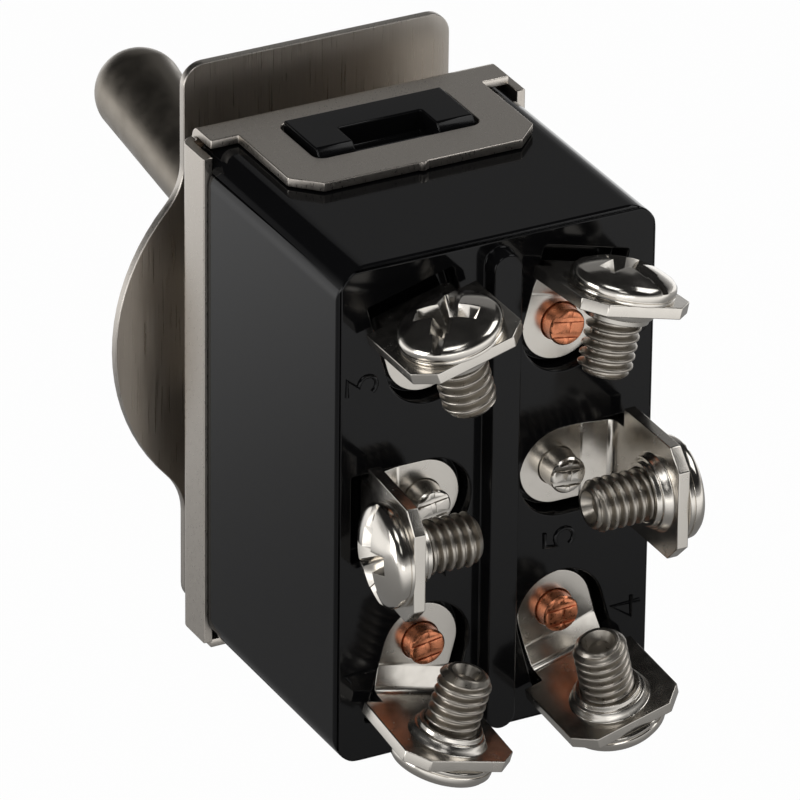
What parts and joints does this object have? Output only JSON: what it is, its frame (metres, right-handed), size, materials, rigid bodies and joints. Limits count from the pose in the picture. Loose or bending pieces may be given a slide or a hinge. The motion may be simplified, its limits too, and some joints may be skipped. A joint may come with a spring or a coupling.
{
  "type": "panel toggle switch",
  "caption": "Toggle switch for a panel: bat lever in a threaded bushing, moulded case in a folded steel frame, and screw terminals on the back.",
  "frame": {"origin": "on the bushing's axis, at the front face of the clamp nut, where the free thread begins", "axes": "-Y out of the panel towards the user, +Y towards the screw terminals, +Z along the case's length towards the side that the lever leans to at rest, X across the two poles"},
  "size_m": [0.0274, 0.0588, 0.0372],
  "materials": {
    "moulding": "black phenolic moulding, polished tool",
    "fibre_sheet": "vulcanised fibre sheet",
    "frame_steel": "zinc plated sheet steel, satin",
    "plate_steel": "brushed, nickel plated sheet",
    "nickel_plate": "bright nickel plate on brass",
    "lever_nickel": "satin nickel plate",
    "terminal_nickel": "bright nickel plate on brass strip",
    "screw_nickel": "bright nickel plate on steel",
    "copper": "bare copper",
    "contact_silver": "silver alloy",
    "spring_steel": "plain spring steel",
    "nylon": "natural nylon",
    "brown_moulding": "brown phenolic moulding"
  },
  "bodies": {
    "switch_body": {"case": "moulding", "liner": "fibre_sheet", "frame": "frame_steel", "bushing": "nickel_plate", "back_nut": "nickel_plate", "front_nut": "nickel_plate", "lock_washer": "spring_steel", "indicator_plate": "plate_steel", "pivot_pin": "spring_steel", "fulcrum_1": "nickel_plate", "fulcrum_2": "nickel_plate", "terminal_1": "terminal_nickel", "rivet_1": "copper", "screw_1": "screw_nickel", "terminal_2": "terminal_nickel", "rivet_2": "nickel_plate", "screw_2": "screw_nickel", "terminal_3": "terminal_nickel", "rivet_3": "copper", "screw_3": "screw_nickel", "terminal_4": "terminal_nickel", "rivet_4": "copper", "screw_4": "screw_nickel", "terminal_5": "terminal_nickel", "rivet_5": "nickel_plate", "screw_5": "screw_nickel", "terminal_6": "terminal_nickel", "rivet_6": "copper", "screw_6": "screw_nickel"},
    "lever": {"lever": "lever_nickel", "plunger": "nylon", "lever_spring": "spring_steel"},
    "rocker": {"rocker": "brown_moulding", "blade_1": "copper", "blade_2": "copper", "blade_buttons_1": "contact_silver", "blade_buttons_2": "contact_silver"}
  },
  "joints": [
    {"name": "lever", "type": "hinge", "parent": "switch_body", "child": "lever", "pos_m": [0, 0.00125, 0], "axis": [1, 0, 0], "range_deg": [0, 26]},
    {"name": "rocker", "type": "hinge", "parent": "switch_body", "child": "rocker", "pos_m": [0, 0.01995, 0], "axis": [1, 0, 0], "range_deg": [-18, 0]}
  ],
  "couplings": [
    {"joint": "rocker", "follows": "lever", "ratio": -0.69}
  ]
}
